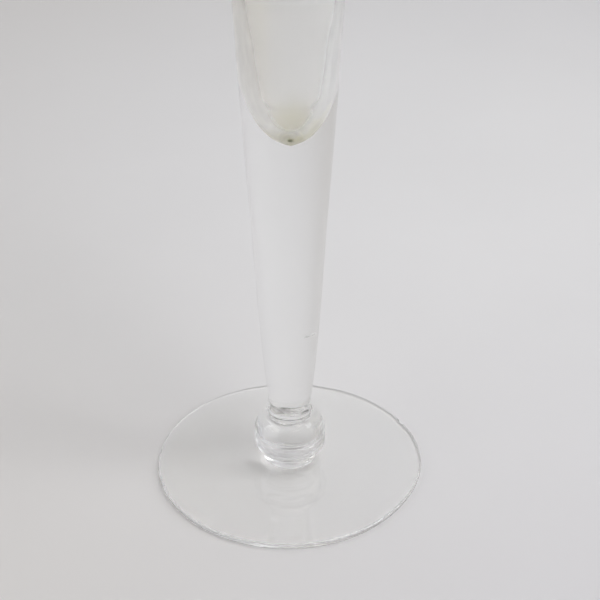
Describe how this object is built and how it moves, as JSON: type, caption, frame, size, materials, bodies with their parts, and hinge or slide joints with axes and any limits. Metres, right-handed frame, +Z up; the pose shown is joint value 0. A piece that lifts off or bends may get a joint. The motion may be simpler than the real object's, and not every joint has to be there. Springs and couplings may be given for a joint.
{
  "type": "footed trumpet vase",
  "caption": "Tall clear glass vase: thin disc foot, narrow neck, flattened ball knop of two gathers, solid tapering stem drawn up into a hollow trumpet bowl with a flared lip.",
  "frame": {"origin": "centre of the circle that the foot stands on, on the standing plane", "axes": "+Z up the vase's axis, towards the lip; X and Y are free, because the vase is turned"},
  "size_m": [0.11, 0.11, 0.4],
  "materials": {
    "foot_glass": "clear, fire-polished",
    "collar_glass": "clear, fire-polished",
    "knop_glass": "clear, fire-polished",
    "stem_glass": "clear, fire-polished",
    "bowl_glass": "clear, with a faint lime residue in the bottom of the hollow"
  },
  "bodies": {
    "root": {"foot": "foot_glass", "collar": "collar_glass", "knop": "knop_glass", "stem": "stem_glass", "bowl": "bowl_glass"}
  },
  "joints": []
}
